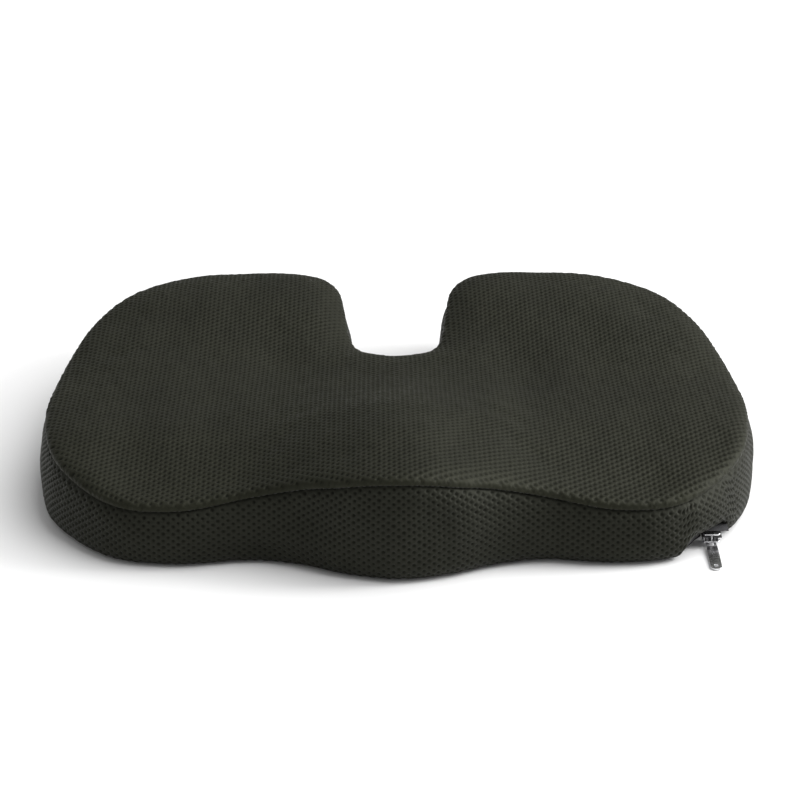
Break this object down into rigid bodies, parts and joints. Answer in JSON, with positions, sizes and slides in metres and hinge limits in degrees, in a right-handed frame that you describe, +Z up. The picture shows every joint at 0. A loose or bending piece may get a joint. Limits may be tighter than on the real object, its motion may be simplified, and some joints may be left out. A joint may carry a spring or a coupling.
{
  "type": "seat cushion",
  "caption": "Contoured U-shaped foam seat cushion with leg grooves, a raised middle ridge, a tailbone cut-out and a zipped mesh cover with a gripping base.",
  "frame": {"origin": "on the surface the cushion lies on, under the middle of its outline", "axes": "+X to the sitter's right, +Y to the rear, where the cut-out opens, +Z up"},
  "size_m": [0.45, 0.3499, 0.0727],
  "materials": {
    "foam": "open-cell slow-recovery foam, matt",
    "mesh": "black polyester spacer mesh, matt with a faint sheen on the ribs",
    "thread": "black polyester sewing thread",
    "base_fabric": "black woven polyester, matt",
    "grip": "soft PVC, satin",
    "tape": "black herringbone zip tape",
    "coil": "black nylon coil",
    "metal": "nickel-plated zinc"
  },
  "bodies": {
    "cushion": {"foam_core": "foam", "top_panel": "mesh", "outer_band": "mesh", "notch_band": "mesh", "top_seam_thread": "thread", "bottom_seam_thread": "thread", "base_panel": "base_fabric", "zip_facing": "base_fabric", "grip_dots": "grip", "zip_tape_inner": "tape", "zip_tape_outer": "tape", "zip_coil_inner": "coil", "zip_coil_outer": "coil", "zip_top_stops": "metal", "zip_bottom_stop": "metal"},
    "slider": {"zip_slider": "metal"},
    "pull": {"zip_pull": "metal"}
  },
  "joints": [
    {"name": "zip_slide", "type": "slide", "parent": "cushion", "child": "slider", "axis": [0, 1, 0], "range_m": [0, 0.205]},
    {"name": "pull_swing", "type": "hinge", "parent": "slider", "child": "pull", "pos_m": [0.18998, -0.12439, 0.0024], "axis": [1, 0, 0], "range_deg": [-2.5, 165]}
  ]
}
